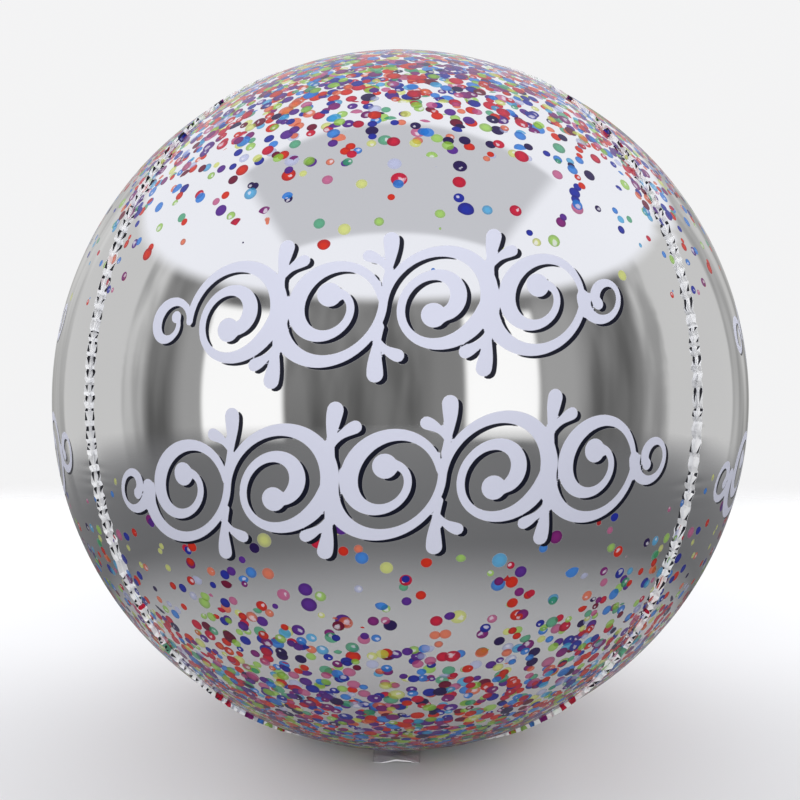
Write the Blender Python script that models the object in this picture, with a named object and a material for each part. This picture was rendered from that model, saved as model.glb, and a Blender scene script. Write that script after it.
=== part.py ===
"""A silver foil sphere balloon, resting on its underside.

Metres, +Z up. The origin is the middle of the underside, on the surface that the balloon rests on,
and the front gore faces -Y. The sealed, inflated envelope stands as one solid: its gores bulge
between welded seams, which stand out as narrow ruffled flanges. The flat filling tail leaves the
bottom tip and lies forwards under the envelope, in the groove that it presses into the rest spot.
"""
import math

import bmesh
import bpy
from mathutils import Vector

# The inflated envelope
GORES = 4
BALLOON_DIAMETER = 0.400
BALLOON_HEIGHT = 0.400
SEAM_INSET = 0.0045
REST_SPOT_DIAMETER = 0.070

# The welded seam flanges
FLANGE_WIDTH = 0.0045
FLANGE_THICKNESS = 0.0012
FLANGE_RUFFLE = 0.0010
FLANGE_TOP_END_RADIUS = 0.008
FLANGE_FADE_LENGTH = 0.030

# The filling tail
TAIL_LENGTH = 0.066
TAIL_ROOT_WIDTH = 0.020
TAIL_MOUTH_WIDTH = 0.026
TAIL_CORNER_RADIUS = 0.003
TAIL_THICKNESS = 0.0008
TAIL_CLEARANCE = 0.0004

# How finely the curved surfaces are cut into flat faces
COLUMNS_PER_GORE = 16
LOWER_RINGS = 22
UPPER_RINGS = 25
CORNER_POINTS = 6

RADIUS = BALLOON_DIAMETER / 2
HALF_HEIGHT = BALLOON_HEIGHT / 2
REST_RADIUS = REST_SPOT_DIAMETER / 2
GORE_ANGLE = 2 * math.pi / GORES
FRONT = -math.pi / 2
RINGS = 1 + LOWER_RINGS + UPPER_RINGS
REST_LATITUDE = -math.acos(REST_RADIUS / RADIUS)
CENTRE_HEIGHT = HALF_HEIGHT * math.sin(-REST_LATITUDE)

SILVER = (0.80, 0.81, 0.83)
FOIL_ROUGHNESS = 0.12
TAIL_FOIL_ROUGHNESS = 0.22


def clear_scene():
    for obj in list(bpy.data.objects):
        bpy.data.objects.remove(obj, do_unlink=True)


def new_collection(name):
    collection = bpy.data.collections.new(name)
    bpy.context.scene.collection.children.link(collection)
    return collection


def foil_material(name, roughness):
    material = bpy.data.materials.new(name)
    material.use_nodes = True
    shader = material.node_tree.nodes["Principled BSDF"]
    shader.inputs["Base Color"].default_value = (*SILVER, 1)
    shader.inputs["Roughness"].default_value = roughness
    shader.inputs["Metallic"].default_value = 1
    return material


def smooth_step(value):
    value = min(max(value, 0.0), 1.0)
    return value * value * (3 - 2 * value)


def lobe_factor(angle):
    """How far out a gore's arc stands, as a share of the radius, at an angle from the gore's middle.

    The arc bulges from seam to seam: it is centred a little in front of the axis.
    """
    seam = 1 - SEAM_INSET / RADIUS
    offset = (1 - seam * seam) / (2 * (1 - seam * math.cos(GORE_ANGLE / 2)))
    arc_radius = 1 - offset
    return offset * math.cos(angle) + math.sqrt(arc_radius ** 2 - (offset * math.sin(angle)) ** 2)


def flange_share(latitude):
    """How much of the flange stands at a latitude: all of it along the sides, none at the tips."""
    ring_radius = RADIUS * math.cos(latitude)
    end_radius = FLANGE_TOP_END_RADIUS if latitude > 0 else REST_RADIUS
    return smooth_step((ring_radius - end_radius) / FLANGE_FADE_LENGTH)


def ring_latitude(ring):
    """The rings run from the rest spot's rim, which is ring 1, by the equator to the top tip."""
    if ring <= 1 + LOWER_RINGS:
        return REST_LATITUDE * (1 + LOWER_RINGS - ring) / LOWER_RINGS
    return math.pi / 2 * (ring - 1 - LOWER_RINGS) / UPPER_RINGS


def envelope_point(column, ring):
    """Where a vertex of the sphere goes.

    The first column of each gore is the crest of its seam flange. The next column and the gore's
    last one are the flange's feet, and the crest leans to either side from ring to ring.
    """
    if ring == 0:
        return Vector((0, 0, 0))
    latitude = ring_latitude(ring)
    ring_radius = RADIUS * math.cos(latitude)
    gore, step = divmod(column, COLUMNS_PER_GORE)
    seam_angle = FRONT + GORE_ANGLE * (gore + 0.5)
    foot_angle = min(FLANGE_THICKNESS / 2 / max(ring_radius, FLANGE_THICKNESS), GORE_ANGLE / 8)
    rise = 0.0
    lean = 0.0
    if step == 0:
        across = 0.0
        rise = FLANGE_WIDTH * flange_share(latitude)
        lean = FLANGE_RUFFLE * flange_share(latitude) * (-1) ** ring
    else:
        across = foot_angle + (GORE_ANGLE - 2 * foot_angle) * (step - 1) / (COLUMNS_PER_GORE - 2)
    angle = seam_angle + across
    reach = ring_radius * lobe_factor(across - GORE_ANGLE / 2) + rise * math.cos(latitude)
    height = CENTRE_HEIGHT + HALF_HEIGHT * math.sin(latitude) + rise * math.sin(latitude)
    x = reach * math.cos(angle) - lean * math.sin(angle)
    y = reach * math.sin(angle) + lean * math.cos(angle)
    return Vector((x, y, max(height, 0.0)))


def make_envelope(collection, groove):
    """A sphere whose rings and columns move to the gores, the seam flanges and the rest spot."""
    columns = GORES * COLUMNS_PER_GORE
    sphere = bmesh.new()
    bmesh.ops.create_uvsphere(sphere, u_segments=columns, v_segments=RINGS, radius=1)
    for vertex in sphere.verts:
        latitude = math.asin(max(-1.0, min(1.0, vertex.co.z)))
        longitude = math.atan2(vertex.co.y, vertex.co.x)
        ring = round((latitude / math.pi + 0.5) * RINGS)
        column = round(longitude / (2 * math.pi) * columns) % columns
        vertex.co = envelope_point(column, ring)
    mesh = bpy.data.meshes.new("envelope")
    sphere.to_mesh(mesh)
    sphere.free()
    mesh.shade_smooth()
    mesh.set_sharp_from_angle(angle=math.radians(40))
    envelope = bpy.data.objects.new("envelope", mesh)
    envelope.data.materials.append(foil_material("silver_foil", FOIL_ROUGHNESS))
    collection.objects.link(envelope)
    cut = envelope.modifiers.new("tail_groove", "BOOLEAN")
    cut.operation = "DIFFERENCE"
    cut.object = groove


def make_groove_cutter(collection):
    """The bar that presses the tail's groove into the rest spot, with its clearance all round."""
    width = max(TAIL_ROOT_WIDTH, TAIL_MOUTH_WIDTH) + 2 * TAIL_CLEARANCE
    length = TAIL_LENGTH + 2 * TAIL_CLEARANCE
    depth = TAIL_THICKNESS + TAIL_CLEARANCE
    bar = bmesh.new()
    bmesh.ops.create_cube(bar, size=1)
    bmesh.ops.scale(bar, vec=(width, length, 2 * depth), verts=bar.verts)
    mesh = bpy.data.meshes.new("tail_groove_cutter")
    bar.to_mesh(mesh)
    bar.free()
    cutter = bpy.data.objects.new("tail_groove_cutter", mesh)
    cutter.location = (0, -TAIL_LENGTH / 2, 0)
    cutter.hide_render = True
    cutter.display_type = "WIRE"
    collection.objects.link(cutter)
    return cutter


def tail_outline():
    """The tail seen from above: it widens from its root at the bottom tip to a round-cornered mouth."""
    half_mouth = TAIL_MOUTH_WIDTH / 2
    left = [(-TAIL_ROOT_WIDTH / 2, 0.0)]
    for step in range(CORNER_POINTS + 1):
        turn = math.pi / 2 * step / CORNER_POINTS
        left.append((
            -half_mouth + TAIL_CORNER_RADIUS * (1 - math.cos(turn)),
            -TAIL_LENGTH + TAIL_CORNER_RADIUS * (1 - math.sin(turn)),
        ))
    right = [(-x, y) for x, y in reversed(left)]
    return left + right


def make_tail(collection):
    """A flat strip on the surface that the balloon rests on."""
    curve = bpy.data.curves.new("inflation_tail", "CURVE")
    curve.dimensions = "2D"
    curve.fill_mode = "BOTH"
    curve.extrude = TAIL_THICKNESS / 2
    outline = tail_outline()
    spline = curve.splines.new("POLY")
    spline.points.add(len(outline) - 1)
    for point, (x, y) in zip(spline.points, outline):
        point.co = (x, y, 0, 1)
    spline.use_cyclic_u = True
    tail = bpy.data.objects.new("inflation_tail", curve)
    tail.location = (0, 0, TAIL_THICKNESS / 2)
    tail.data.materials.append(foil_material("tail_foil", TAIL_FOIL_ROUGHNESS))
    collection.objects.link(tail)


def main():
    clear_scene()
    balloon = new_collection("foil_sphere_balloon")
    cutters = new_collection("cutters")
    make_envelope(balloon, make_groove_cutter(cutters))
    make_tail(balloon)


main()
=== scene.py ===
"""The looks of a silver foil sphere balloon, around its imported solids.

Metres, +Z up. The balloon rests on the floor at z = 0, and its front gore faces -Y. Four mirror foil
gores bulge between welded seams, whose flanges are crinkled fins. Each gore carries the same print:
confetti that thickens towards both tips, and two rows of scrollwork in pale ink with a dark shadow.
"""
import math
import random

import bpy
import numpy as np
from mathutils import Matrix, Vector


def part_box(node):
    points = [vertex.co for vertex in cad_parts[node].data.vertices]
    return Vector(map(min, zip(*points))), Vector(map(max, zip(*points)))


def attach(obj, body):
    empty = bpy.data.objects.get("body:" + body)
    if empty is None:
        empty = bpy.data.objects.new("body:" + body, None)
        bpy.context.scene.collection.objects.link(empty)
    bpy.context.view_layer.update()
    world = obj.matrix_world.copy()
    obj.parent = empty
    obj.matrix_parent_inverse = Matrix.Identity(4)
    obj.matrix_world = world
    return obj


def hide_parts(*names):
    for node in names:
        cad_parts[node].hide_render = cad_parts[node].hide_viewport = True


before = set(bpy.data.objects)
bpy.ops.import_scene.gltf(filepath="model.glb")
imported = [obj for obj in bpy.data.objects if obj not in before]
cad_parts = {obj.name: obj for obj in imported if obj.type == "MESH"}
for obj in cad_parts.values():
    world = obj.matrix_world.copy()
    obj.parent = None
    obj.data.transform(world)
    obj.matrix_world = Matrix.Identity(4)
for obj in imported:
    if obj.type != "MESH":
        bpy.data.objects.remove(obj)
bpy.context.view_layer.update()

ENVELOPE_LOW, ENVELOPE_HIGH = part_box("envelope")
TAIL_LOW, TAIL_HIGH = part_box("inflation_tail")

# The envelope, with the same sizes as its solid
GORES = 4
GORE_ANGLE = 2 * math.pi / GORES
FRONT = -math.pi / 2
RADIUS = (ENVELOPE_HIGH.x - ENVELOPE_LOW.x) / 2
REST_RADIUS = 0.035
CENTRE_HEIGHT = math.sqrt(RADIUS ** 2 - REST_RADIUS ** 2)
SEAM_INSET = 0.0045
FLANGE_TOP_END_RADIUS = 0.008
FLANGE_FADE_LENGTH = 0.030
GROOVE_CLEARANCE = 0.0004
# the solid's groove has upright sides, but the foil comes down beside the tail within this width
GROOVE_SLOPE = 0.003

# The foil skin's waves, puckers and creases, all pressed inwards from the solid's surface
WAVE_DEPTH = 0.00006
WAVE_LENGTH = 0.070
PUCKER_DEPTH = 0.00042
PUCKER_LENGTH = 0.0085
PUCKER_REACH = 0.0075
PUCKER_REACH_SWING = 0.45
PUCKER_REACH_WAVE = 0.013
TIP_CREASE_DEPTH = 0.0007
TIP_CREASES_PER_GORE = 6
TIP_CREASE_REACH = 0.024
TIP_CREASE_REACH_SWING = 0.4
TIP_CREASE_START = 0.012

# How finely the skin is meshed
PRINT_ROW_STEP = 0.00098
PLAIN_ROW_STEP = 0.0023
PRINT_BAND = 0.074
SEAM_COLUMN_STEP = 0.0008
SEAM_BAND = 0.012
MIDDLE_COLUMN_STEP = 0.00128

# The welded flanges: thin fins of folded foil
FLANGE_SEED = 40
FLANGE_THICKNESS = 0.0003
# from root to crest: how far out each level stands, and its share of the fold's lean
FLANGE_LEVELS = [(-0.0008, 0.1), (0.0002, 0.45), (0.0007, 0.8), (0.0022, 1.0)]
# the four steps of a fold up the seam: the step's length, its lean to either side, its crest's height
FLANGE_FOLD = [(0.0034, -0.6, 0.96), (0.0013, 0.5, 1.0), (0.0012, 0.8, 0.88), (0.0012, -0.1, 1.0)]
FLANGE_SWELL = (0.5, 1.4)
FLANGE_LEAN = (0.0006, 0.0013)
FLANGE_CREST_SHARE = (0.9, 1.0)
FLANGE_LEVEL_SHARE = (0.85, 1.1)
FLANGE_STEP_SHARE = (0.8, 1.2)
FLANGE_SIDE_JITTER = 0.0002
FLANGE_STEP_JITTER = 0.0004
FLANGE_LOWEST = 0.0002
FLANGE_CONFETTI_SHARE = 0.12
# the latitude in radians from which the fin gets lower, and the stretch within which it does
FLANGE_LOWER_FROM = 0.6
FLANGE_LOWER_WITHIN = 0.4
# the creases darkened with painted shade: where one lies on its fold and how often, how far up and down they
# go, and how often one also covers the fold's next step, from root to crest
CREASE_SHADE_KINDS = (None, "crest", "root")
CREASE_SHADE_WEIGHTS = (0.14, 0.50, 0.36)
CREASE_SHADE_LATITUDE = math.radians(50)
CREASE_SHADE_LEAST_FLANGE = 0.3
WHOLE_CREASE_SHADE_CHANCE = 0.6

# The filling tail
TAIL_COLUMNS = 41
TAIL_ROWS = 95
TAIL_END_GAP = 0.0003
TAIL_SIDE_GAP = 0.0002
TAIL_ROOT_HALF_WIDTH = 0.0098
TAIL_CORNER = 0.003
TAIL_WIDENING = 1.4
TAIL_FREE_START = 0.68
TAIL_FREE_LENGTH = 0.32
TAIL_WELD_SHARE = 0.16
TAIL_PUFF = 0.00018
TAIL_FREE_PUFF = 0.0009
TAIL_BED = 0.00028
TAIL_FREE_BED = 0.0012
TAIL_FREE_RIPPLE = 0.0007
TAIL_CRINKLE = 0.00003
TAIL_FREE_CRINKLE = 0.00020
TAIL_LOWER_PLY_DROP = 0.00008
TAIL_LOWEST = 0.0001
TAIL_LEAST_PLY_GAP = 0.00016

# The confetti print
CONFETTI_LAYERS = 9
CONFETTI_CELL = 0.0094
CONFETTI_LAYER_COVER = 0.27
CONFETTI_CENTRE_LATITUDE = math.radians(55)
CONFETTI_SCATTER = 0.68
CONFETTI_LEAST_RADIUS = 0.0020
CONFETTI_RADIUS_SPREAD = 0.0020
CONFETTI_CLUMPS = 0.25
# its cover at latitudes in degrees, towards the top tip and towards the lower one
CONFETTI_TOP_COVER = ([13, 17, 22, 28, 35, 42, 52, 90], [0, 0.04, 0.12, 0.27, 0.52, 0.78, 0.92, 0.93])
CONFETTI_LOW_COVER = ([11, 15, 20, 26, 33, 41, 52, 90], [0, 0.05, 0.14, 0.32, 0.56, 0.79, 0.92, 0.93])
# how many degrees further from the tips it reaches beside the seams
CONFETTI_SEAM_REACH = 6.0

# The scrollwork print, in metres on a gore, with half widths for its strokes
THICK_STROKE = 0.0034
THIN_STROKE = 0.0014
BUD_STEM = 0.0011
TALL_BUD_END = 0.0029
SMALL_BUD_END = 0.0022
VOLUTE_END = 0.0046
HOOK_END = 0.0023
ROW_RISE = math.radians(3.3)
ROW_SLANT = 0.16
DAB_STEP = 0.0006
SHADOW_OFFSET = (0.0019, -0.0011)
INK_REACH = 0.004
# as shares of a bay's radius
TALL_BUD_BASE = 0.42
SMALL_BUD_BASE = 0.72
TALL_BUD_LENGTH = 0.88
SMALL_BUD_LENGTH = 0.46
HOOK_RADIUS = 0.52
# about how long a curl's stroke is, as a share of the curl's own radius
CURL_LENGTH = 4.6
# each row: its middle on the gore, its bays, their radius, and whether the first one arches up or down
SCROLL_ROWS = [(0.000, 0.037, 4, 0.0208, 1), (0.001, -0.031, 5, 0.0218, -1)]
# where an ink's edge starts and where it is full, in metres outside its strokes
STROKE_EDGE = (0.00040, 0.00018)
SHADOW_EDGE = (0.00028, 0.00006)
# how far the shadow has to show past the ink before it is drawn
SHADOW_LEAST_PEEP = (0.00045, 0.00070)

# The camera is level with the balloon's middle, and the balloon nearly fills the view. The distance is
# an assumption: nothing in the photograph fixes it
CAMERA_DISTANCE = 2.6 * RADIUS
CAMERA_AZIMUTH = math.radians(1.9)
CAMERA_LENS = 37.9
CAMERA_CLIP_START = 0.01

# The stage
FLOOR_HALF_SIZE = 3.0
FLOOR_DROP = 0.0003
FLOOR_FADE = (0.45, 1.9)
FLOOR_SHADE = (0.16, 0.36)
LAMP_AZIMUTHS = (0, 120, 240)
LAMP_RISE = 14
LAMP_DISTANCE = 1.6
LAMP_SIZE = 1.3
LAMP_POWER = 15.0
# the studio that the foil mirrors, in degrees: turn 0 is the camera's side, and rise 0 is level
WALL_TURN = (83, 89)
WALL_LIGHT = (0.135, 0.36)
# tall strips of wall: the middle, the half width and the brightness, all from one foot to one head
STRIPS = ((-66, 7, 0.34), (18, 8, 0.22), (53, 9, 0.36))
STRIP_FOOT = -14
STRIP_HEAD = 26
STRIP_SOFTNESS = 5.0
# windows: the middle, the half width, the foot, the head and the brightness
WINDOWS = (
    (-48, 14, -11, 24, 1.05),
    (34, 11.5, -11, 24, 1.05),
    (-112, 15, -16, 30, 0.60),
    (112, 15, -16, 30, 0.60),
    (180, 14, -8, 28, 0.60),
    (-180, 14, -8, 28, 0.60),
)
WINDOW_SOFTNESS = 1.2
CEILING_RISE = (27, 31)
CEILING_LIGHT = 0.92
TRAY_LIGHT = 0.60
# the edges of the ceiling's tray, as shares of the ceiling's height, from a middle on the camera's side
TRAY_MIDDLE = 0.42
TRAY_EDGE_X = (0.80, 0.68)
TRAY_EDGE_Y = (0.46, 0.40)
BELOW_RISE = (-8, -30)
BELOW_LIGHT = 0.26
DRAPE_SCALE = 1.6
DRAPE_LIGHT = (0.72, 1.42)
WALL_TINT = (1.0, 0.995, 0.975, 1)
CEILING_TINT = (0.99, 1.0, 1.045, 1)
BACKGROUND = (0.90, 0.90, 0.905, 1)
FLOOR_COLOUR = (0.80, 0.80, 0.805, 1)
FLOOR_MIRRORED_NEAR = (0.50, 0.50, 0.495, 1)
FLOOR_MIRRORED_FAR = (0.13, 0.13, 0.13, 1)


def smooth_step(value):
    """Smoothly from 0 to 1 as the value goes from 0 to 1."""
    value = np.clip(value, 0.0, 1.0)
    return value * value * (3 - 2 * value)


def linear(red, green, blue):
    """An sRGB colour, 0 to 255, as the linear one that shaders take."""
    shares = [channel / 255 for channel in (red, green, blue)]
    return tuple(s / 12.92 if s <= 0.04045 else ((s + 0.055) / 1.055) ** 2.4 for s in shares) + (1.0,)


# The shape of the skin

def lobe_factor(angle):
    """How far out a gore's arc stands, as a share of the radius, at an angle from the gore's middle."""
    seam = 1 - SEAM_INSET / RADIUS
    offset = (1 - seam * seam) / (2 * (1 - seam * math.cos(GORE_ANGLE / 2)))
    arc_radius = 1 - offset
    return offset * np.cos(angle) + np.sqrt(arc_radius ** 2 - (offset * np.sin(angle)) ** 2)


def flange_share(latitude):
    """How much of a seam flange stands at a latitude: all of it along the sides, none at the tips."""
    ring_radius = RADIUS * np.cos(latitude)
    end_radius = np.where(latitude > 0, FLANGE_TOP_END_RADIUS, REST_RADIUS)
    return smooth_step((ring_radius - end_radius) / FLANGE_FADE_LENGTH)


def waves(place, lengths, seed):
    """A sum of sine waves of random direction, from -1 to 1, smooth over the places given."""
    rng = np.random.default_rng(seed)
    total = np.zeros(place.shape[0])
    for length in lengths:
        direction = rng.normal(size=3)
        direction /= np.linalg.norm(direction)
        total += np.sin(place @ direction * 2 * math.pi / length + rng.uniform(0, 2 * math.pi))
    return total / len(lengths)


def folds(along, length, seed):
    """Rounded bulges between sharp valleys along a seam: 0 on a bulge's crest, and 1 in a valley."""
    rng = np.random.default_rng(seed)
    drift = np.zeros_like(along)
    for share in (3.1, 5.3, 8.7):
        drift += rng.uniform(0.5, 1.0) * np.sin(along * 2 * math.pi / (length * share) + rng.uniform(0, 6))
    return 1 - np.abs(np.sin(math.pi * along / length + 1.1 * drift))


def seam_pucker(longitude, latitude, gore):
    """How far the puckers press the skin in: they run from each seam and fade into the gore."""
    depth = np.zeros_like(longitude)
    for side in (-1, 1):
        seam = (gore + (side - 1) // 2) % GORES
        away = (GORE_ANGLE / 2 - side * longitude) * RADIUS * np.cos(latitude)
        along = RADIUS * latitude
        reach = PUCKER_REACH * (1 + PUCKER_REACH_SWING * np.sin(along / PUCKER_REACH_WAVE + 2.1 * seam))
        depth += PUCKER_DEPTH * folds(along, PUCKER_LENGTH, 11 + seam) * np.exp(-away / reach)
    return depth * smooth_step(RADIUS * np.cos(latitude) / FLANGE_FADE_LENGTH)


def tip_crease(longitude, latitude, gore):
    """How far the creases that run out from both tips press the skin in."""
    from_tip = RADIUS * (math.pi / 2 - np.abs(latitude))
    turn = longitude / GORE_ANGLE + gore
    drift = 0.35 * np.sin(5 * turn * math.pi / 2 + np.sign(latitude)) + 0.25 * np.sin(turn * 4 * math.pi + 1)
    crease = (1 - np.abs(np.sin(math.pi * (turn * TIP_CREASES_PER_GORE + drift)))) ** 1.5
    reach = TIP_CREASE_REACH * (1 + TIP_CREASE_REACH_SWING * np.sin(7 * turn * math.pi / 2 + 0.7))
    start = smooth_step(from_tip / TIP_CREASE_START)
    return TIP_CREASE_DEPTH * crease * start * np.exp(-from_tip / reach)


def floor_height(x, y):
    """How high the underside is held: nothing on the rest spot, and clear of the tail in its groove."""
    half_width = (TAIL_HIGH.x - TAIL_LOW.x) / 2 + GROOVE_CLEARANCE
    lift = TAIL_HIGH.z + GROOVE_CLEARANCE
    beside = smooth_step((half_width + GROOVE_SLOPE - np.abs(x)) / GROOVE_SLOPE)
    behind = smooth_step((TAIL_HIGH.y + GROOVE_CLEARANCE + GROOVE_SLOPE - y) / GROOVE_SLOPE)
    return lift * beside * behind


def skin_points(longitude, latitude, gore):
    """Places on the foil skin of a gore. Longitude runs from its middle."""
    angle = FRONT + gore * GORE_ANGLE + longitude
    outward = np.stack([
        np.cos(latitude) * np.cos(angle), np.cos(latitude) * np.sin(angle), np.sin(latitude)
    ], axis=1)
    reach = RADIUS * lobe_factor(longitude)
    base = outward * np.stack([reach, reach, np.full_like(reach, RADIUS)], axis=1)
    pressed = WAVE_DEPTH * (1 + waves(base, [WAVE_LENGTH * s for s in (0.7, 0.9, 1.2, 1.7)], 5))
    pressed += seam_pucker(longitude, latitude, gore) + tip_crease(longitude, latitude, gore)
    points = base - outward * pressed[:, None]
    points[:, 2] += CENTRE_HEIGHT
    points[:, 2] = np.maximum(points[:, 2], floor_height(points[:, 0], points[:, 1]))
    return points


# The places on the print

def confetti_place(longitude, latitude):
    """Where a point lies on the confetti print, in metres on the film: circles stay round on the gore.

    Each half of the gore is laid flat from its own centre, and the lower half's print lies elsewhere.
    """
    height = np.abs(latitude)
    x = np.cos(height) * np.cos(longitude)
    y = np.cos(height) * np.sin(longitude)
    z = np.sin(height)
    tilt = CONFETTI_CENTRE_LATITUDE
    towards = x * math.cos(tilt) + z * math.sin(tilt)
    up = z * math.cos(tilt) - x * math.sin(tilt)
    scale = 2 * RADIUS / (1 + towards)
    place = np.stack([y * scale, up * scale, np.zeros_like(x)], axis=1)
    place[:, 0] += np.where(latitude < 0, 1.0, 0.0)
    return place


def confetti_chance(longitude, latitude):
    """How many of the confetti layers' dots are printed at a place, from the cover by latitude."""
    reach = CONFETTI_SEAM_REACH * np.square(longitude / (GORE_ANGLE / 2))
    degrees = np.degrees(latitude) + np.sign(latitude) * reach
    top = np.interp(degrees, *CONFETTI_TOP_COVER)
    low = np.interp(-degrees, *CONFETTI_LOW_COVER)
    cover = np.where(latitude > 0, top, low)
    full_layers = np.log(1 - cover) / math.log(1 - CONFETTI_LAYER_COVER)
    place = confetti_place(longitude, latitude)
    clumps = 1 + CONFETTI_CLUMPS * waves(place, (0.050, 0.034, 0.061), 3)
    return np.clip(full_layers / CONFETTI_LAYERS * clumps, 0, 1)


# The scrollwork: rows of volutes with buds, each stroke a chain of overlapping round dabs

def brush(heading, taper=1.0):
    """Half the stroke's width where the brush heads that way: thick going down, thin going up."""
    down = 0.5 - 0.5 * math.sin(heading)
    return (THIN_STROKE + (THICK_STROKE - THIN_STROKE) * down ** 1.6) * taper


def curve_dabs(point_at, length, taper_at):
    """Dabs along a curve: each is its place and its half width."""
    steps = max(8, round(length / DAB_STEP))
    points = [point_at(i / steps) for i in range(steps + 1)]
    dabs = []
    for i, (u, v) in enumerate(points):
        before, after = points[max(i - 1, 0)], points[min(i + 1, steps)]
        heading = math.atan2(after[1] - before[1], after[0] - before[0])
        dabs.append((u, v, brush(heading, taper_at(i / steps))))
    return dabs


def bud_dabs(u, v, heading, length, width, bend):
    """A bud that leaves the scroll on a thin stem and swells to a round end, bending as it goes."""
    steps = max(8, round(length / DAB_STEP))
    dabs = []
    for i in range(steps + 1):
        share = i / steps
        dabs.append((u, v, BUD_STEM + (width - BUD_STEM) * float(smooth_step((share - 0.25) / 0.75))))
        turn = heading + bend * share
        u += length / steps * math.cos(turn)
        v += length / steps * math.sin(turn)
    return dabs


def bay_dabs(u, v, radius, up):
    """One bay of the scroll: the stem arches over or under it, and a branch curls back into it."""
    def arch(share):
        angle = math.pi * (1 - share)
        return u + radius * math.cos(angle), v + up * radius * math.sin(angle)

    def branch(share):
        angle = -share * math.radians(450) - math.radians(8)
        reach = radius * (0.96 - 0.70 * share ** 0.85)
        return u + reach * math.cos(angle), v + up * reach * math.sin(angle)

    dabs = curve_dabs(arch, math.pi * radius, lambda share: 1.0)
    dabs += curve_dabs(
        branch, CURL_LENGTH * radius, lambda share: min(1.0, 0.85 + 2.5 * share) * (1 - 0.15 * share))
    end_u, end_v = branch(1.0)
    dabs.append((end_u, end_v, VOLUTE_END))
    return dabs


def hook_dabs(u, v, radius, side, up):
    """The curl that ends a row: it leaves the scroll outwards and winds up on itself."""
    def curl(share):
        angle = math.pi * (0 if side < 0 else 1) - side * up * share * math.radians(400)
        reach = radius * (1 - 0.62 * share)
        return u + side * radius + reach * math.cos(angle), v + reach * math.sin(angle)

    dabs = curve_dabs(curl, CURL_LENGTH * radius, lambda share: 0.85 - 0.25 * share)
    end_u, end_v = curl(1.0)
    dabs.append((end_u, end_v, HOOK_END))
    return dabs


def row_dabs(middle_u, middle_v, bays, radius, first_up):
    """One row of the scroll: its bays, two pairs of buds at each joint, and a curl at each end."""
    dabs = []
    start = -bays * radius
    for bay in range(bays):
        up = first_up * (-1) ** bay
        dabs += bay_dabs(start + (2 * bay + 1) * radius, 0.0, radius, up)
    for joint in range(1, bays):
        u = start + 2 * joint * radius
        up = first_up * (-1) ** (joint - 1)
        for side in (-1, 1):
            # a small bud leans away from the arch beside it, and a tall one leans back over that arch
            lean = side * up
            base, fork = side * TALL_BUD_BASE * radius, side * SMALL_BUD_BASE * radius
            tall, small = side * math.radians(90 + 9 * lean), side * math.radians(90 - 42 * lean)
            dabs += bud_dabs(u, base, tall, TALL_BUD_LENGTH * radius, TALL_BUD_END, -side * lean * 0.3)
            dabs += bud_dabs(u, fork, small, SMALL_BUD_LENGTH * radius, SMALL_BUD_END, -side * lean * 0.5)
    dabs += hook_dabs(start, 0.0, HOOK_RADIUS * radius, -1, first_up)
    dabs += hook_dabs(-start, 0.0, HOOK_RADIUS * radius, 1, first_up * (-1) ** (bays - 1))
    placed = []
    for u, v, width in dabs:
        slanted = u + ROW_SLANT * v
        placed.append((
            middle_u + slanted * math.cos(ROW_RISE) - v * math.sin(ROW_RISE),
            middle_v + slanted * math.sin(ROW_RISE) + v * math.cos(ROW_RISE),
            width,
        ))
    return placed


def motif_dabs():
    """All the dabs of a gore's scrollwork."""
    return np.array([dab for row in SCROLL_ROWS for dab in row_dabs(*row)])


def ink_distance(u, v, dabs):
    """How far each place is outside the strokes, or inside them where it is negative."""
    nearest = np.full(u.shape[0], INK_REACH)
    for start in range(0, u.shape[0], 2000):
        part = slice(start, start + 2000)
        away = np.hypot(u[part, None] - dabs[None, :, 0], v[part, None] - dabs[None, :, 1])
        nearest[part] = np.minimum(nearest[part], (away - dabs[None, :, 2]).min(axis=1))
    return nearest


def print_fields(longitude, latitude, with_motif):
    """What the foil's material reads at each point of a printed piece."""
    fields = {
        "confetti_place": confetti_place(longitude, latitude),
        "confetti_chance": confetti_chance(longitude, latitude),
        "ink": np.full(longitude.shape[0], INK_REACH),
        "ink_shadow": np.full(longitude.shape[0], INK_REACH),
    }
    if with_motif:
        u = RADIUS * longitude * np.cos(latitude)
        v = RADIUS * latitude
        near = np.abs(v) < PRINT_BAND
        dabs = motif_dabs()
        fields["ink"][near] = ink_distance(u[near], v[near], dabs)
        fields["ink_shadow"][near] = ink_distance(
            u[near] - SHADOW_OFFSET[0], v[near] - SHADOW_OFFSET[1], dabs)
    return fields


# Meshes

def make_piece(name, points, faces, material, smooth=True):
    """An object with a mesh of the points and faces, at the origin."""
    mesh = bpy.data.meshes.new(name)
    mesh.from_pydata(points, [], faces)
    mesh.polygons.foreach_set("use_smooth", [smooth] * len(mesh.polygons))
    mesh.materials.append(material)
    mesh.update()
    piece = bpy.data.objects.new(name, mesh)
    bpy.context.scene.collection.objects.link(piece)
    return piece


def store_fields(piece, fields):
    """Keeps each field's value at each point as an attribute of the mesh."""
    for name, values in fields.items():
        kind, key = ("FLOAT_VECTOR", "vector") if values.ndim == 2 else ("FLOAT", "value")
        attribute = piece.data.attributes.new(name, kind, "POINT")
        attribute.data.foreach_set(key, values.astype(np.float32).ravel())


def spaced(stops, steps):
    """Values from the first stop to the last, evenly stepped within each stretch between stops."""
    values = [stops[0]]
    for low, high, step in zip(stops, stops[1:], steps):
        count = max(1, round((high - low) / step))
        values += [low + (high - low) * (i + 1) / count for i in range(count)]
    return np.array(values)


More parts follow.
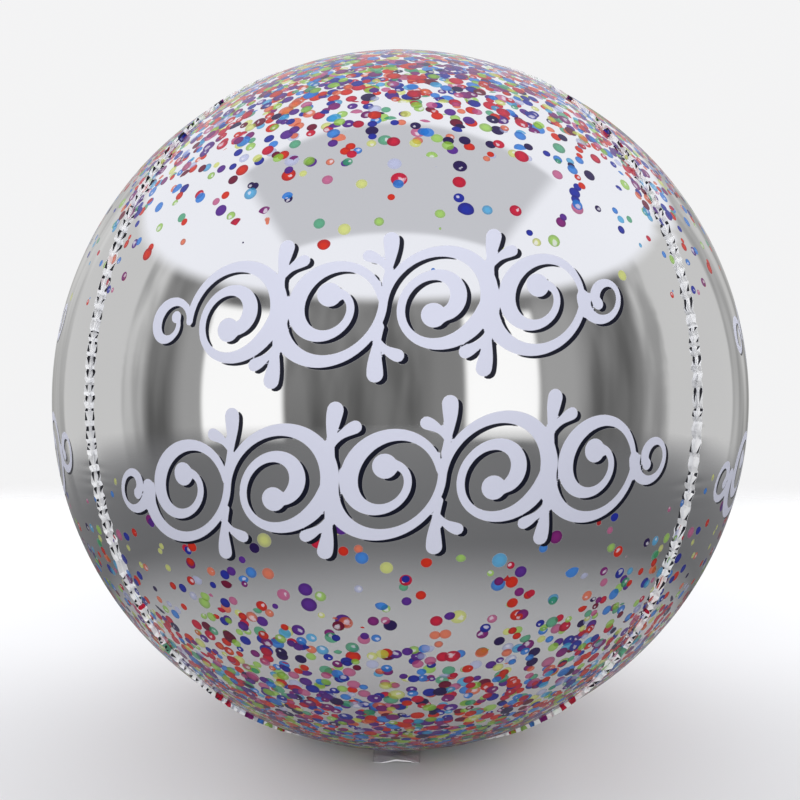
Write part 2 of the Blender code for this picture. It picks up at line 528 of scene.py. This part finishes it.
def gore_grid():
    """The longitudes and latitudes of a gore's mesh: finer by the seams, and where the ink lies."""
    half_width = RADIUS * GORE_ANGLE / 2
    across = spaced(
        [-half_width, SEAM_BAND - half_width, half_width - SEAM_BAND, half_width],
        [SEAM_COLUMN_STEP, MIDDLE_COLUMN_STEP, SEAM_COLUMN_STEP],
    )
    tip = RADIUS * math.pi / 2
    up = spaced([-tip, -PRINT_BAND, PRINT_BAND, tip], [PLAIN_ROW_STEP, PRINT_ROW_STEP, PLAIN_ROW_STEP])
    return across / RADIUS, up / RADIUS


def make_gore(name, gore, fields, longitudes, latitudes, material):
    """One gore of the skin, open at its edges, where its neighbours and the flanges meet it."""
    columns, rows = len(longitudes), len(latitudes)
    longitude = np.tile(longitudes, rows)
    latitude = np.repeat(latitudes, columns)
    points = skin_points(longitude, latitude, gore)
    corner = (np.arange(rows - 1)[:, None] * columns + np.arange(columns - 1)[None, :]).ravel()
    faces = np.stack([corner, corner + 1, corner + columns + 1, corner + columns], axis=1)
    piece = make_piece(name, points.tolist(), faces.tolist(), material)
    store_fields(piece, fields)
    layer = piece.data.uv_layers.new(name="OFBake")
    uv = np.stack([longitude / GORE_ANGLE + 0.5, latitude / math.pi + 0.5], axis=1)
    loop_vertex = np.zeros(len(piece.data.loops), dtype=np.int32)
    piece.data.loops.foreach_get("vertex_index", loop_vertex)
    layer.data.foreach_set("uv", uv[loop_vertex].astype(np.float32).ravel())
    return piece


def flange_rings(seam):
    """The fin's points, in a ring at each step up the seam, with their print places and where painted shade
    marks a crease.
    """
    rng = random.Random(FLANGE_SEED + seam)
    angle = FRONT + GORE_ANGLE * (seam + 0.5)
    seam_factor = 1 - SEAM_INSET / RADIUS
    latitude = -math.acos(REST_RADIUS / RADIUS)
    highest = math.acos(FLANGE_TOP_END_RADIUS / RADIUS)
    points, places, creases = [], [], []
    while latitude < highest:
        swell = rng.uniform(*FLANGE_SWELL)
        lean_scale = rng.uniform(*FLANGE_LEAN)
        # where on this fold a crease gets painted shade, if anywhere
        crease = rng.choices(CREASE_SHADE_KINDS, CREASE_SHADE_WEIGHTS)[0]
        if abs(latitude) > CREASE_SHADE_LATITUDE:
            crease = None
        for index, (step, lean, crest) in enumerate(FLANGE_FOLD):
            # towards the top tip, the fin is only half as high
            near_top = float(smooth_step((latitude - FLANGE_LOWER_FROM) / FLANGE_LOWER_WITHIN))
            share = float(flange_share(latitude)) * (1 - 0.5 * near_top)
            for level, (height, leaning) in enumerate(FLANGE_LEVELS):
                if level == len(FLANGE_LEVELS) - 1:
                    outer = crest * rng.uniform(*FLANGE_CREST_SHARE)
                else:
                    outer = rng.uniform(*FLANGE_LEVEL_SHARE)
                rise = height * (share * outer if height > 0 else 1)
                across = lean * lean_scale * leaning * (0.25 + 0.75 * share)
                across += rng.uniform(-FLANGE_SIDE_JITTER, FLANGE_SIDE_JITTER)
                here = latitude + rng.uniform(-FLANGE_STEP_JITTER, FLANGE_STEP_JITTER) / RADIUS
                for face in (-1, 1):
                    reach = RADIUS * seam_factor * math.cos(here) + rise * math.cos(here)
                    shift = across + face * FLANGE_THICKNESS / 2
                    points.append((
                        reach * math.cos(angle) - shift * math.sin(angle),
                        reach * math.sin(angle) + shift * math.cos(angle),
                        max(CENTRE_HEIGHT + (RADIUS + rise) * math.sin(here), FLANGE_LOWEST),
                    ))
                    places.append((-GORE_ANGLE / 2 + max(rise, 0) / RADIUS, here))
            whole = crease and rng.random() < WHOLE_CREASE_SHADE_CHANCE
            kind = [crease, whole and "whole", None, None][index]
            creases.append(kind if share > CREASE_SHADE_LEAST_FLANGE else None)
            latitude += step * swell * rng.uniform(*FLANGE_STEP_SHARE) / RADIUS
    return points, places, creases


def make_flange(name, seam, material):
    """A seam's flange: a thin fin of welded foil in small folds, many with painted shade in a crease."""
    points, places, creases = flange_rings(seam)
    levels = len(FLANGE_LEVELS)
    around = 2 * levels
    rows = len(points) // around
    # each ring goes up one face of the fin and down the other
    ring = [2 * level for level in range(levels)]
    ring += [2 * level + 1 for level in reversed(range(levels))]
    faces, creased = [], []
    for row in range(rows - 1):
        low, high = row * around, (row + 1) * around
        for step in range(around):
            near, far = ring[step], ring[(step + 1) % around]
            # the diagonal goes from the inner corner, low down, to the outer one above it, so that the
            # first triangle lies along the crest, and the second along the root
            if step >= levels:
                faces += [(low + near, low + far, high + near), (low + far, high + far, high + near)]
                outer = step == levels
            else:
                faces += [(low + near, low + far, high + far), (low + near, high + far, high + near)]
                outer = step == levels - 2
            # the outer triangles of a marked crease get painted shade
            creased.append(outer and creases[row] in ("crest", "whole"))
            creased.append(outer and creases[row] in ("root", "whole"))
    last = (rows - 1) * around
    faces.append(ring[::-1])
    faces.append([last + corner for corner in ring])
    creased += [False, False]
    piece = make_piece(name, points, faces, material, smooth=False)
    places = np.array(places)
    fields = print_fields(places[:, 0], places[:, 1], False)
    fields["confetti_chance"] *= FLANGE_CONFETTI_SHARE
    store_fields(piece, fields)
    # the faces that get painted shade, kept as the crease attribute
    crease = piece.data.attributes.new("crease", "FLOAT", "FACE")
    crease.data.foreach_set("value", np.array(creased, dtype=np.float32))
    return piece


def tail_point(along, across, ply):
    """A place on a ply of the tail, from its root, 0, to its mouth, 1, and from edge to edge, -1 to 1."""
    length = TAIL_HIGH.y - TAIL_LOW.y
    mouth_half = (TAIL_HIGH.x - TAIL_LOW.x) / 2 - TAIL_SIDE_GAP
    y = TAIL_HIGH.y - TAIL_END_GAP - (length - 2 * TAIL_END_GAP) * along
    from_mouth = (1 - along) * length
    inset = 0.0
    if from_mouth < TAIL_CORNER:
        inset = TAIL_CORNER - math.sqrt(max(TAIL_CORNER ** 2 - (TAIL_CORNER - from_mouth) ** 2, 0))
    widened = min(1, along * TAIL_WIDENING)
    half = TAIL_ROOT_HALF_WIDTH + (mouth_half - TAIL_ROOT_HALF_WIDTH) * widened - inset
    x = half * across
    free = float(smooth_step((along - TAIL_FREE_START) / TAIL_FREE_LENGTH))
    weld = float(smooth_step((1 - abs(across)) / TAIL_WELD_SHARE))
    crinkle = math.sin(x / 0.0021 + 3 * math.sin(y / 0.009)) * math.sin(y / 0.0034 + 2 * math.sin(x / 0.004))
    puff = TAIL_PUFF + TAIL_FREE_PUFF * free * weld * (1 - across ** 2)
    bed = TAIL_BED + free * (TAIL_FREE_BED + TAIL_FREE_RIPPLE * math.sin(x / 0.0042 + 1.1))
    z = bed + (puff if ply else -TAIL_LOWER_PLY_DROP) + crinkle * (TAIL_CRINKLE + TAIL_FREE_CRINKLE * free)
    return x, y, max(z, TAIL_LOWEST + TAIL_LEAST_PLY_GAP * ply)


def make_tail(material):
    """The filling tail: two plies of foil with welded edges, creased, and parted a little at its mouth."""
    columns, rows = TAIL_COLUMNS, TAIL_ROWS
    points = [
        tail_point(row / (rows - 1), 2 * column / (columns - 1) - 1, ply)
        for ply in (0, 1) for row in range(rows) for column in range(columns)
    ]
    faces = []
    size = rows * columns
    for row in range(rows - 1):
        for column in range(columns - 1):
            a = row * columns + column
            b, c, d = a + 1, a + columns + 1, a + columns
            faces.append((a, b, c, d))
            faces.append((size + d, size + c, size + b, size + a))
    rim = [row * columns for row in range(rows)]
    rim += [(rows - 1) * columns + column for column in range(1, columns)]
    rim += [row * columns + columns - 1 for row in reversed(range(rows - 1))]
    rim += [column for column in reversed(range(1, columns - 1))]
    for a, b in zip(rim, rim[1:] + rim[:1]):
        faces.append((b, a, size + a, size + b))
    return make_piece("tail_foil_sleeve", points, faces, material)


# Materials

class Graph:
    """A short way to write a node tree: every call adds one node and gives back its output."""

    def __init__(self, tree):
        self.tree = tree

    def node(self, kind, **settings):
        node = self.tree.nodes.new(kind)
        for name, value in settings.items():
            setattr(node, name, value)
        return node

    def feed(self, socket, value):
        if isinstance(value, bpy.types.NodeSocket):
            self.tree.links.new(value, socket)
        else:
            socket.default_value = value

    def math(self, operation, *values, clamp=False):
        node = self.node("ShaderNodeMath", operation=operation, use_clamp=clamp)
        for socket, value in zip(node.inputs, values):
            self.feed(socket, value)
        return node.outputs[0]

    def vector(self, operation, *values):
        node = self.node("ShaderNodeVectorMath", operation=operation)
        for socket, value in zip(node.inputs, values):
            self.feed(socket, value)
        return node.outputs["Value" if operation in ("LENGTH", "DISTANCE") else "Vector"]

    def scale(self, vector, factor):
        node = self.node("ShaderNodeVectorMath", operation="SCALE")
        self.feed(node.inputs[0], vector)
        self.feed(node.inputs["Scale"], factor)
        return node.outputs[0]

    def ramp(self, value, low, high, start=0.0, end=1.0):
        """Smoothly from start, at low, to end, at high."""
        node = self.node("ShaderNodeMapRange", interpolation_type="SMOOTHSTEP")
        names = ("Value", "From Min", "From Max", "To Min", "To Max")
        for name, given in zip(names, (value, low, high, start, end)):
            self.feed(node.inputs[name], given)
        return node.outputs["Result"]

    def mix(self, share, under, over, blend="MIX"):
        node = self.node("ShaderNodeMix", data_type="RGBA", blend_type=blend)
        self.feed(node.inputs["Factor"], share)
        self.feed(node.inputs["A"], under)
        self.feed(node.inputs["B"], over)
        return node.outputs["Result"]

    def blend(self, share, under, over):
        """Two numbers mixed."""
        node = self.node("ShaderNodeMix", data_type="FLOAT")
        self.feed(node.inputs["Factor"], share)
        self.feed(node.inputs["A"], under)
        self.feed(node.inputs["B"], over)
        return node.outputs["Result"]

    def attribute(self, name, output):
        return self.node("ShaderNodeAttribute", attribute_name=name).outputs[output]

    def noise(self, place, scale, detail=2.0):
        node = self.node("ShaderNodeTexNoise")
        self.feed(node.inputs["Vector"], place)
        self.feed(node.inputs["Scale"], scale)
        self.feed(node.inputs["Detail"], detail)
        return node.outputs["Fac"]


FOIL_DIM = linear(238, 238, 241)
FOIL_BRIGHT = linear(248, 249, 250)
TAIL_DIM = linear(236, 236, 240)
TAIL_BRIGHT = linear(250, 250, 252)
SCROLL_INK = linear(208, 210, 227)
SHADOW_INK = linear(20, 22, 36)
# painted shade, laid grey over the fins' marked creases
CREASE_PAINTED_SHADE = linear(46, 46, 52)
# the colour of the painted shade at the dots' rims
DOT_SHADE = (0.03, 0.01, 0.05, 1)
# the colour of the dots' painted glint
PEARL_GLINT = (0.80, 0.77, 0.86, 1)

# A dot, with places as shares of its radius: its edge, its painted shade towards the rim, and the pearls'
# uneven painted glint
DOT_EDGE = (1.0, 0.90)
DOT_RIM = (0.25, 1.0)
DOT_LEAST_SHADE = 0.12
DOT_SHADE_SPREAD = 0.35
DOT_OPACITY = 0.80
GLINT_PLACE = (0.16, 0.22, 0.0)
GLINT_EDGE = (1.35, 0.65)
GLINT_LEAST_SIZE = 0.14
GLINT_SIZE_SPREAD = 0.34
GLINT_UNEVENNESS = 0.9
GLINT_NOISE_SCALE = 520.0
GLINT_STRENGTH = 0.66
PEARL_DRAW = 0.72

# How the layers of dots are turned and moved apart, and how dots keep clear of their neighbours
FIRST_LAYER_TURN = 0.4
LAYER_TURN_STEP = 1.13
LAYER_SHIFT = (0.37, 0.23)
DOT_ROOM_SHARE = 0.97
DOT_FADE = 0.012
DOT_GONE_RADIUS = 0.00001

# The foil's and the inks' shine
INK_METAL = 0.12
FOIL_SPECULAR = 0.18
FOIL_ROUGHNESS_SPREAD = 0.035
INK_ROUGHNESS = 0.22
SHADOW_ROUGHNESS = 0.25
STROKE_ROUGHNESS = 0.42
TAIL_METAL = 0.15
TAIL_ROUGHNESS = 0.22
TAIL_ROUGHNESS_SPREAD = 0.16

# The confetti's inks: a colour, how well it covers, and its share of the dots
CONFETTI_INKS = [
    (linear(206, 50, 32), 1.0, 13),
    (linear(196, 36, 62), 1.0, 9),
    (linear(222, 100, 50), 0.9, 6),
    (linear(38, 50, 156), 1.0, 10),
    (linear(34, 124, 212), 0.95, 9),
    (linear(90, 46, 140), 1.0, 9),
    (linear(40, 26, 80), 1.0, 6),
    (linear(128, 40, 116), 1.0, 8),
    (linear(188, 74, 130), 0.9, 5),
    (linear(148, 198, 58), 0.88, 10),
    (linear(204, 212, 76), 0.8, 7),
    (linear(54, 158, 114), 0.9, 6),
    (linear(112, 20, 52), 1.0, 3),
    (linear(168, 176, 222), 0.7, 4),
    (linear(52, 162, 214), 0.9, 5),
]


def confetti_group():
    """One layer of dots. It lays its inks over the colour given, and adds to the ink that covers it."""
    tree = bpy.data.node_groups.new("confetti_layer", "ShaderNodeTree")
    sockets = tree.interface
    for name, kind in (("Place", "Vector"), ("Turn", "Float"), ("Chance", "Float"), ("Under", "Color"),
                       ("Ink Under", "Float")):
        sockets.new_socket(name, in_out="INPUT", socket_type="NodeSocket" + kind)
    for name, kind in (("Colour", "Color"), ("Ink", "Float")):
        sockets.new_socket(name, in_out="OUTPUT", socket_type="NodeSocket" + kind)
    g = Graph(tree)
    given = g.node("NodeGroupInput").outputs
    turned = g.node("ShaderNodeVectorRotate", rotation_type="Z_AXIS")
    g.feed(turned.inputs["Vector"], given["Place"])
    g.feed(turned.inputs["Angle"], given["Turn"])
    aside = g.node("ShaderNodeCombineXYZ")
    g.feed(aside.inputs[0], g.math("MULTIPLY", given["Turn"], LAYER_SHIFT[0]))
    g.feed(aside.inputs[1], g.math("MULTIPLY", given["Turn"], LAYER_SHIFT[1]))
    place = g.vector("ADD", turned.outputs[0], aside.outputs[0])
    cells = g.node("ShaderNodeTexVoronoi", voronoi_dimensions="2D", feature="F1")
    g.feed(cells.inputs["Vector"], place)
    g.feed(cells.inputs["Scale"], 1 / CONFETTI_CELL)
    g.feed(cells.inputs["Randomness"], CONFETTI_SCATTER)
    draws = g.node("ShaderNodeSeparateColor")
    g.feed(draws.inputs[0], cells.outputs["Color"])
    more = g.node("ShaderNodeTexWhiteNoise", noise_dimensions="3D")
    g.feed(more.inputs["Vector"], cells.outputs["Color"])
    extra = g.node("ShaderNodeSeparateColor")
    g.feed(extra.inputs[0], more.outputs["Color"])
    room = g.node("ShaderNodeTexVoronoi", voronoi_dimensions="2D", feature="N_SPHERE_RADIUS")
    g.feed(room.inputs["Vector"], place)
    g.feed(room.inputs["Scale"], 1 / CONFETTI_CELL)
    g.feed(room.inputs["Randomness"], CONFETTI_SCATTER)
    wanted = g.math("MULTIPLY_ADD", draws.outputs[1], CONFETTI_RADIUS_SPREAD, CONFETTI_LEAST_RADIUS)
    allowed = g.math("MULTIPLY", room.outputs["Radius"], CONFETTI_CELL * DOT_ROOM_SHARE)
    radius = g.math("MINIMUM", wanted, allowed)
    # a dot at the edge of being printed is smaller, so that few dots are cut
    shown = g.ramp(g.math("SUBTRACT", given["Chance"], draws.outputs[0]), 0.0, DOT_FADE)
    radius = g.math("MAXIMUM", g.math("MULTIPLY", radius, shown), DOT_GONE_RADIUS)
    local = g.scale(g.vector("SUBTRACT", place, cells.outputs["Position"]), g.math("DIVIDE", 1.0, radius))
    away = g.vector("LENGTH", local)
    dot = g.ramp(away, *DOT_EDGE)
    ink = g.node("ShaderNodeValToRGB")
    ink.color_ramp.interpolation = "CONSTANT"
    stops = ink.color_ramp.elements
    total = sum(share for _, _, share in CONFETTI_INKS)
    start = 0.0
    for index, (colour, cover, share) in enumerate(CONFETTI_INKS):
        stop = stops[index] if index < 2 else stops.new(start)
        stop.position = start
        stop.color = colour[:3] + (cover,)
        start += share / total
    g.feed(ink.inputs["Fac"], draws.outputs[2])
    # painted shade darkens each dot towards its rim, by a random depth
    depth = g.math("MULTIPLY_ADD", extra.outputs[2], DOT_SHADE_SPREAD, DOT_LEAST_SHADE)
    shade = g.math("MULTIPLY", g.ramp(away, *DOT_RIM), depth)
    colour = g.mix(shade, ink.outputs["Color"], DOT_SHADE)
    # some dots get a painted glint like a pearl's highlight, uneven and off the middle
    grain = g.noise(place, GLINT_NOISE_SCALE, 1.0)
    uneven = g.math("MULTIPLY_ADD", grain, GLINT_UNEVENNESS, -GLINT_UNEVENNESS / 2)
    glint_size = g.math("MULTIPLY_ADD", extra.outputs[1], GLINT_SIZE_SPREAD, GLINT_LEAST_SIZE)
    glint_away = g.math("ADD", g.vector("DISTANCE", local, GLINT_PLACE), uneven)
    glint = g.ramp(g.math("DIVIDE", glint_away, glint_size), *GLINT_EDGE)
    glint = g.math("MULTIPLY", glint, g.math("GREATER_THAN", extra.outputs[0], PEARL_DRAW))
    colour = g.mix(g.math("MULTIPLY", glint, GLINT_STRENGTH), colour, PEARL_GLINT)
    opacity = g.math("MULTIPLY", dot, ink.outputs["Alpha"])
    over = g.mix(DOT_OPACITY, g.mix(1.0, given["Under"], colour, "MULTIPLY"), colour)
    result = g.node("NodeGroupOutput").inputs
    g.feed(result["Colour"], g.mix(opacity, given["Under"], over))
    g.feed(result["Ink"], g.math("MAXIMUM", given["Ink Under"], opacity))
    return tree


def new_material(name):
    """A material with nodes, a graph to write them with, and its shader."""
    material = bpy.data.materials.new(name)
    material.use_nodes = True
    return material, Graph(material.node_tree), material.node_tree.nodes["Principled BSDF"]


def silver_foil_material(name, confetti, metal, gloss):
    """Printed foil. Metal is the bare foil's metallic share, and gloss its lowest roughness."""
    material, g, shader = new_material(name)
    place = g.node("ShaderNodeTexCoord").outputs["Object"]
    cloud = g.noise(place, 9.0, 3.0)
    colour = g.mix(cloud, FOIL_DIM, FOIL_BRIGHT)
    ink = 0.0
    for layer in range(CONFETTI_LAYERS):
        node = g.node("ShaderNodeGroup", node_tree=confetti)
        g.feed(node.inputs["Place"], g.attribute("confetti_place", "Vector"))
        g.feed(node.inputs["Turn"], FIRST_LAYER_TURN + LAYER_TURN_STEP * layer)
        g.feed(node.inputs["Chance"], g.attribute("confetti_chance", "Fac"))
        g.feed(node.inputs["Under"], colour)
        g.feed(node.inputs["Ink Under"], ink)
        colour, ink = node.outputs["Colour"], node.outputs["Ink"]
    shadow = g.ramp(g.attribute("ink_shadow", "Fac"), *SHADOW_EDGE)
    # where the shadow would peep out as a hairline, it isn't drawn
    peep = g.math("SUBTRACT", g.attribute("ink", "Fac"), g.attribute("ink_shadow", "Fac"))
    shadow = g.math("MULTIPLY", shadow, g.ramp(peep, *SHADOW_LEAST_PEEP))
    colour = g.mix(shadow, colour, SHADOW_INK)
    stroke = g.ramp(g.attribute("ink", "Fac"), *STROKE_EDGE)
    colour = g.mix(stroke, colour, SCROLL_INK)
    # painted shade: the fins' marked creases are darkened to grey
    colour = g.mix(g.attribute("crease", "Fac"), colour, CREASE_PAINTED_SHADE)
    g.feed(shader.inputs["Base Color"], colour)
    metallic = g.blend(ink, metal, INK_METAL)
    metallic = g.blend(g.math("MAXIMUM", shadow, stroke), metallic, 0.0)
    g.feed(shader.inputs["Metallic"], metallic)
    shader.inputs["Specular IOR Level"].default_value = FOIL_SPECULAR
    roughness = g.math("MULTIPLY_ADD", g.noise(place, 38.0, 4.0), FOIL_ROUGHNESS_SPREAD, gloss)
    roughness = g.blend(ink, roughness, INK_ROUGHNESS)
    roughness = g.blend(shadow, roughness, SHADOW_ROUGHNESS)
    g.feed(shader.inputs["Roughness"], g.blend(stroke, roughness, STROKE_ROUGHNESS))
    return material


def tail_foil_material():
    """The tail's unprinted foil, duller than the gores'."""
    material, g, shader = new_material("tail_foil")
    place = g.node("ShaderNodeTexCoord").outputs["Object"]
    cloud = g.noise(place, 60.0, 3.0)
    g.feed(shader.inputs["Base Color"], g.mix(cloud, TAIL_DIM, TAIL_BRIGHT))
    shader.inputs["Metallic"].default_value = TAIL_METAL
    uneven = g.noise(place, 240.0, 3.0)
    roughness = g.math("MULTIPLY_ADD", uneven, TAIL_ROUGHNESS_SPREAD, TAIL_ROUGHNESS)
    g.feed(shader.inputs["Roughness"], roughness)
    return material


# The studio

def make_floor():
    """A pale floor that thins out to the background at a distance. Mirrored in the foil it is darker."""
    mesh = bpy.data.meshes.new("floor")
    size = FLOOR_HALF_SIZE
    corners = [(-size, -size, 0), (size, -size, 0), (size, size, 0), (-size, size, 0)]
    mesh.from_pydata(corners, [], [(0, 1, 2, 3)])
    floor = bpy.data.objects.new("floor", mesh)
    floor.location.z = -FLOOR_DROP
    bpy.context.scene.collection.objects.link(floor)
    material = bpy.data.materials.new("pale_floor")
    material.use_nodes = True
    g = Graph(material.node_tree)
    material.node_tree.nodes.clear()
    place = g.node("ShaderNodeTexCoord").outputs["Object"]
    away = g.vector("LENGTH", place)
    seen = g.node("ShaderNodeLightPath").outputs["Is Camera Ray"]
    matt = g.node("ShaderNodeBsdfDiffuse")
    reflected = g.mix(g.ramp(away, *FLOOR_SHADE), FLOOR_MIRRORED_NEAR, FLOOR_MIRRORED_FAR)
    g.feed(matt.inputs["Color"], g.mix(seen, reflected, FLOOR_COLOUR))
    clear = g.node("ShaderNodeBsdfTransparent")
    fade = g.node("ShaderNodeMixShader")
    g.feed(fade.inputs[0], g.ramp(away, *FLOOR_FADE))
    g.feed(fade.inputs[1], matt.outputs[0])
    g.feed(fade.inputs[2], clear.outputs[0])
    output = g.node("ShaderNodeOutputMaterial")
    g.feed(output.inputs["Surface"], fade.outputs[0])
    mesh.materials.append(material)


def make_studio():
    """Soft light from all round: a bright ceiling, tall soft windows, and darker walls between them."""
    world = bpy.data.worlds.new("soft_studio")
    bpy.context.scene.world = world
    world.use_nodes = True
    g = Graph(world.node_tree)
    world.node_tree.nodes.clear()
    direction = g.node("ShaderNodeTexCoord").outputs["Generated"]
    parts = g.node("ShaderNodeSeparateXYZ")
    g.feed(parts.inputs[0], direction)
    x, y, z = parts.outputs
    turn = g.math("ARCTAN2", x, g.math("MULTIPLY", y, -1.0))
    rise = g.math("ARCSINE", z)

    def panel(middle, half_width, low, high, soft):
        """A soft-edged window or strip, from angles in degrees. Turn 0 is the camera's side."""
        soft = math.radians(soft)
        beside = g.math("ABSOLUTE", g.math("SUBTRACT", turn, math.radians(middle)))
        across = g.ramp(beside, math.radians(half_width) + soft, math.radians(half_width) - soft)
        above = g.ramp(rise, math.radians(low) - soft, math.radians(low) + soft)
        below = g.ramp(rise, math.radians(high) + soft, math.radians(high) - soft)
        return g.math("MULTIPLY", across, g.math("MULTIPLY", above, below))

    far = g.math("ABSOLUTE", turn)
    walls = g.ramp(far, math.radians(WALL_TURN[0]), math.radians(WALL_TURN[1]), *WALL_LIGHT)
    light = g.math("MULTIPLY", walls, g.ramp(rise, math.radians(-30), math.radians(30), 0.75, 1.35))
    drape = g.noise(g.vector("MULTIPLY", direction, (4.0, 4.0, 0.9)), DRAPE_SCALE, 2.0)
    light = g.math("MULTIPLY", light, g.ramp(drape, 0.30, 0.70, *DRAPE_LIGHT))
    for middle, half_width, level in STRIPS:
        strip = panel(middle, half_width, STRIP_FOOT, STRIP_HEAD, STRIP_SOFTNESS)
        light = g.blend(strip, light, level)
    for middle, half_width, foot, head, level in WINDOWS:
        light = g.blend(panel(middle, half_width, foot, head, WINDOW_SOFTNESS), light, level)
    ceiling_edge = g.ramp(rise, math.radians(CEILING_RISE[0]), math.radians(CEILING_RISE[1]))
    # a dimmer tray in the ceiling, on the camera's side of the middle
    over_x = g.math("DIVIDE", x, g.math("MAXIMUM", z, 0.05))
    over_y = g.math("DIVIDE", y, g.math("MAXIMUM", z, 0.05))
    tray_x = g.ramp(g.math("ABSOLUTE", over_x), *TRAY_EDGE_X)
    tray_y = g.ramp(g.math("ABSOLUTE", g.math("ADD", over_y, TRAY_MIDDLE)), *TRAY_EDGE_Y)
    tray = g.math("MULTIPLY", tray_x, tray_y)
    light = g.blend(ceiling_edge, light, g.blend(tray, CEILING_LIGHT, TRAY_LIGHT))
    below = g.ramp(rise, math.radians(BELOW_RISE[0]), math.radians(BELOW_RISE[1]))
    light = g.blend(below, light, BELOW_LIGHT)
    back = g.node("ShaderNodeBackground")
    tint = g.mix(ceiling_edge, WALL_TINT, CEILING_TINT)
    g.feed(back.inputs["Color"], tint)
    g.feed(back.inputs["Strength"], light)
    plain = g.node("ShaderNodeBackground")
    g.feed(plain.inputs["Color"], BACKGROUND)
    g.feed(plain.inputs["Strength"], 1.0)
    either = g.node("ShaderNodeMixShader")
    g.feed(either.inputs[0], g.node("ShaderNodeLightPath").outputs["Is Camera Ray"])
    g.feed(either.inputs[1], back.outputs[0])
    g.feed(either.inputs[2], plain.outputs[0])
    output = g.node("ShaderNodeOutputWorld")
    g.feed(output.inputs["Surface"], either.outputs[0])


def make_lamps():
    """Three broad soft lamps around the balloon, which light the inks and the floor. No foil shows them."""
    for azimuth in LAMP_AZIMUTHS:
        data = bpy.data.lights.new("soft_lamp", "AREA")
        data.shape = "DISK"
        data.size = LAMP_SIZE
        data.energy = LAMP_POWER
        lamp = bpy.data.objects.new("soft_lamp", data)
        turn, rise = math.radians(azimuth), math.radians(LAMP_RISE)
        place = Vector((
            math.sin(turn) * math.cos(rise), -math.cos(turn) * math.cos(rise), math.sin(rise)
        )) * LAMP_DISTANCE
        lamp.location = place + Vector((0, 0, CENTRE_HEIGHT))
        lamp.rotation_euler = place.to_track_quat("Z", "Y").to_euler()
        lamp.visible_glossy = False
        lamp.visible_camera = False
        bpy.context.scene.collection.objects.link(lamp)


def make_camera():
    """The camera, at the photograph's viewing angle."""
    data = bpy.data.cameras.new("camera")
    data.lens = CAMERA_LENS
    camera = bpy.data.objects.new("camera", data)
    camera.location = (
        CAMERA_DISTANCE * math.sin(CAMERA_AZIMUTH),
        -CAMERA_DISTANCE * math.cos(CAMERA_AZIMUTH),
        CENTRE_HEIGHT,
    )
    camera.rotation_euler = (math.pi / 2, 0, CAMERA_AZIMUTH)
    data.clip_start = CAMERA_CLIP_START
    bpy.context.scene.collection.objects.link(camera)
    bpy.context.scene.camera = camera
    bpy.context.scene.view_settings.view_transform = "Standard"


def main():
    confetti = confetti_group()
    foil = silver_foil_material("silver_foil", confetti, metal=1.0, gloss=0.035)
    welded_foil = silver_foil_material("welded_foil", confetti, metal=0.12, gloss=0.22)
    longitudes, latitudes = gore_grid()
    longitude = np.tile(longitudes, len(latitudes))
    latitude = np.repeat(latitudes, len(longitudes))
    fields = print_fields(longitude, latitude, True)
    for gore, side in enumerate(("front", "right", "back", "left")):
        piece = make_gore("gore_" + side, gore, fields, longitudes, latitudes, foil)
        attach(piece, "root")
        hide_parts("envelope")
    for seam, side in enumerate(("front_right", "back_right", "back_left", "front_left")):
        piece = make_flange("seam_" + side, seam, welded_foil)
        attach(piece, "root")
        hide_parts("envelope")
    tail = make_tail(tail_foil_material())
    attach(tail, "root")
    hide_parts("inflation_tail")
    make_floor()
    make_studio()
    make_lamps()
    make_camera()


main()
